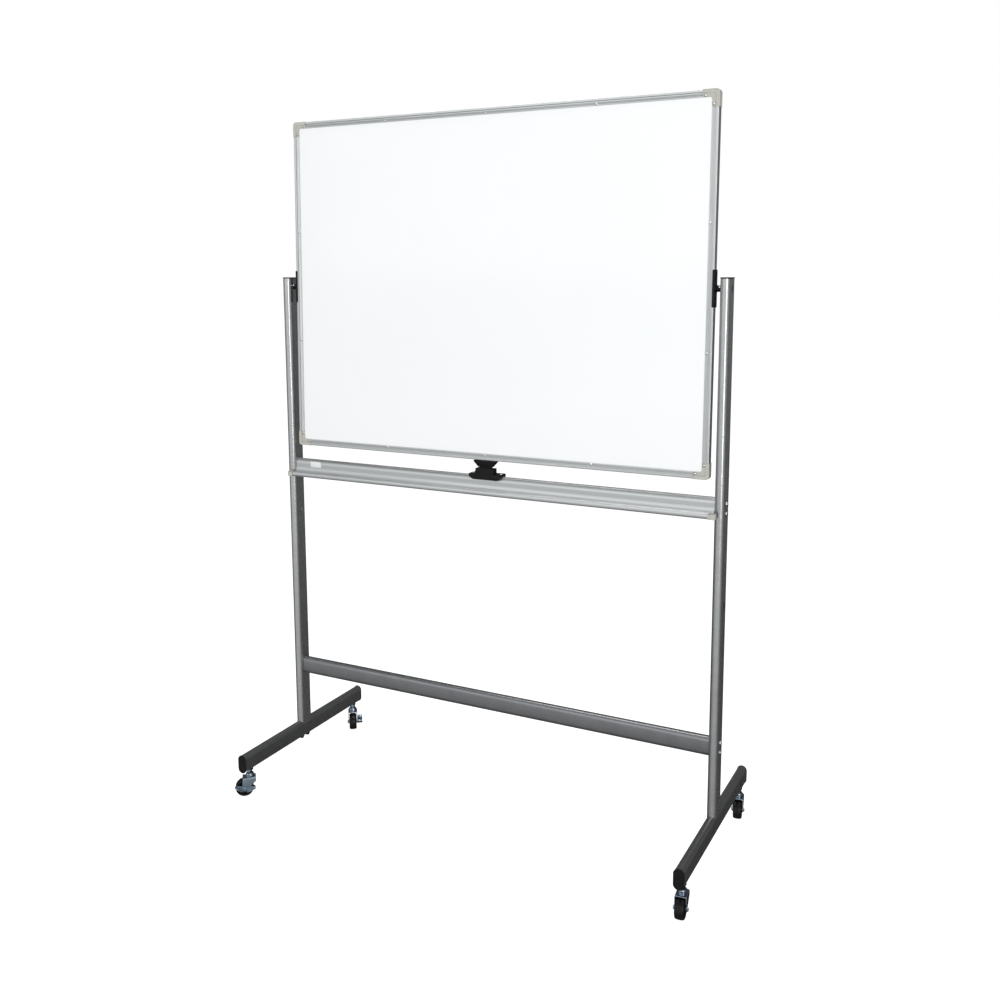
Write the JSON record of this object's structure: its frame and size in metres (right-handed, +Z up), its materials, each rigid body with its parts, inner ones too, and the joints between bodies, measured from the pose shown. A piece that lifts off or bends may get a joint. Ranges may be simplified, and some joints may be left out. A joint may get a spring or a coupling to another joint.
{
  "type": "rolling whiteboard",
  "caption": "Two-sided white writing board in an aluminium frame that turns over between two uprights on a wheeled stand, with a pen tray and a sprung latch under its lower edge.",
  "frame": {"origin": "on the floor, midway between the two uprights and midway along the feet", "axes": "+Z up, +X to the right as seen by someone writing on the front face, -Y towards that person"},
  "size_m": [1.3121, 0.5823, 1.8661],
  "materials": {
    "silver_paint": "silver metallic paint, satin",
    "dark_silver_paint": "dark grey metallic paint, satin",
    "anodised_aluminium": "satin anodised, extruded",
    "white_enamel": "glossy white writing enamel on steel sheet",
    "core_board": "plain board, hidden inside the panel",
    "grey_plastic": "moulded, fine grain",
    "black_plastic": "moulded, satin",
    "black_steel": "black coated steel",
    "bright_zinc": "bright zinc plate",
    "black_rubber": "hard, smooth"
  },
  "bodies": {
    "frame": {"left_upright": "silver_paint", "left_upright_cap": "black_plastic", "left_foot": "dark_silver_paint", "left_foot_front_cap": "black_plastic", "caster_stem_left_front": "bright_zinc", "left_foot_back_cap": "black_plastic", "caster_stem_left_back": "bright_zinc", "upper_beam_bolt_left_top": "bright_zinc", "upper_beam_bolt_left_bottom": "bright_zinc", "lower_beam_bolt_left_top": "bright_zinc", "lower_beam_bolt_left_bottom": "bright_zinc", "tray_end_cap_left": "grey_plastic", "pivot_pin_left": "bright_zinc", "right_upright": "silver_paint", "right_upright_cap": "black_plastic", "right_foot": "dark_silver_paint", "right_foot_front_cap": "black_plastic", "caster_stem_right_front": "bright_zinc", "right_foot_back_cap": "black_plastic", "caster_stem_right_back": "bright_zinc", "upper_beam_bolt_right_top": "bright_zinc", "upper_beam_bolt_right_bottom": "bright_zinc", "lower_beam_bolt_right_top": "bright_zinc", "lower_beam_bolt_right_bottom": "bright_zinc", "tray_end_cap_right": "grey_plastic", "pivot_pin_right": "bright_zinc", "upper_crossbeam": "silver_paint", "lower_crossbeam": "dark_silver_paint", "pen_tray": "anodised_aluminium", "latch_base": "black_plastic", "latch_spring": "bright_zinc"},
    "board": {"board_core": "core_board", "writing_sheet_front": "white_enamel", "writing_sheet_back": "white_enamel", "top_rail": "anodised_aluminium", "bottom_rail": "anodised_aluminium", "left_rail": "anodised_aluminium", "right_rail": "anodised_aluminium", "corner_top_left": "grey_plastic", "corner_top_right": "grey_plastic", "corner_bottom_left": "grey_plastic", "corner_bottom_right": "grey_plastic", "pivot_bracket_left": "black_steel", "pivot_bracket_right": "black_steel"},
    "latch": {"latch_shoe": "black_plastic"},
    "swivel_left_front": {"caster_fork_left_front": "bright_zinc", "caster_axle_left_front": "bright_zinc"},
    "wheel_left_front": {"caster_wheel_left_front": "black_rubber"},
    "brake_left_front": {"brake_lever_left_front": "bright_zinc"},
    "swivel_left_back": {"caster_fork_left_back": "bright_zinc", "caster_axle_left_back": "bright_zinc"},
    "wheel_left_back": {"caster_wheel_left_back": "black_rubber"},
    "brake_left_back": {"brake_lever_left_back": "bright_zinc"},
    "swivel_right_front": {"caster_fork_right_front": "bright_zinc", "caster_axle_right_front": "bright_zinc"},
    "wheel_right_front": {"caster_wheel_right_front": "black_rubber"},
    "swivel_right_back": {"caster_fork_right_back": "bright_zinc", "caster_axle_right_back": "bright_zinc"},
    "wheel_right_back": {"caster_wheel_right_back": "black_rubber"}
  },
  "joints": [
    {"name": "board_turn", "type": "hinge", "parent": "frame", "child": "board", "pos_m": [0, 0, 1.416], "axis": [1, 0, 0], "continuous": true},
    {"name": "latch_press", "type": "slide", "parent": "frame", "child": "latch", "axis": [0, 0, 1], "range_m": [-0.0035, 0], "stiffness_N_per_m": 400, "springref_m": 0.004, "deforming": ["latch_spring"]},
    {"name": "caster_swivel_left_front", "type": "hinge", "parent": "frame", "child": "swivel_left_front", "pos_m": [-0.6276, -0.2505, 0.077], "axis": [0, 0, 1], "continuous": true},
    {"name": "wheel_roll_left_front", "type": "hinge", "parent": "swivel_left_front", "child": "wheel_left_front", "pos_m": [-0.63924, -0.26073, 0.025], "axis": [0.66, -0.7513, 0], "continuous": true},
    {"name": "brake_rock_left_front", "type": "hinge", "parent": "swivel_left_front", "child": "brake_left_front", "pos_m": [-0.63924, -0.26073, 0.025], "axis": [0.66, -0.7513, 0], "range_deg": [0, 20]},
    {"name": "caster_swivel_left_back", "type": "hinge", "parent": "frame", "child": "swivel_left_back", "pos_m": [-0.6276, 0.2505, 0.077], "axis": [0, 0, 1], "continuous": true},
    {"name": "wheel_roll_left_back", "type": "hinge", "parent": "swivel_left_back", "child": "wheel_left_back", "pos_m": [-0.61858, 0.2379, 0.025], "axis": [0.8131, 0.5821, 0], "continuous": true},
    {"name": "brake_rock_left_back", "type": "hinge", "parent": "swivel_left_back", "child": "brake_left_back", "pos_m": [-0.61858, 0.2379, 0.025], "axis": [0.8131, 0.5821, 0], "range_deg": [0, 20]},
    {"name": "caster_swivel_right_front", "type": "hinge", "parent": "frame", "child": "swivel_right_front", "pos_m": [0.6276, -0.2505, 0.077], "axis": [0, 0, 1], "continuous": true},
    {"name": "wheel_roll_right_front", "type": "hinge", "parent": "swivel_right_front", "child": "wheel_right_front", "pos_m": [0.62922, -0.26592, 0.025], "axis": [0.9945, 0.1045, 0], "continuous": true},
    {"name": "caster_swivel_right_back", "type": "hinge", "parent": "frame", "child": "swivel_right_back", "pos_m": [0.6276, 0.2505, 0.077], "axis": [0, 0, 1], "continuous": true},
    {"name": "wheel_roll_right_back", "type": "hinge", "parent": "swivel_right_back", "child": "wheel_right_back", "pos_m": [0.63029, 0.23523, 0.025], "axis": [0.9848, 0.1736, 0], "continuous": true}
  ]
}
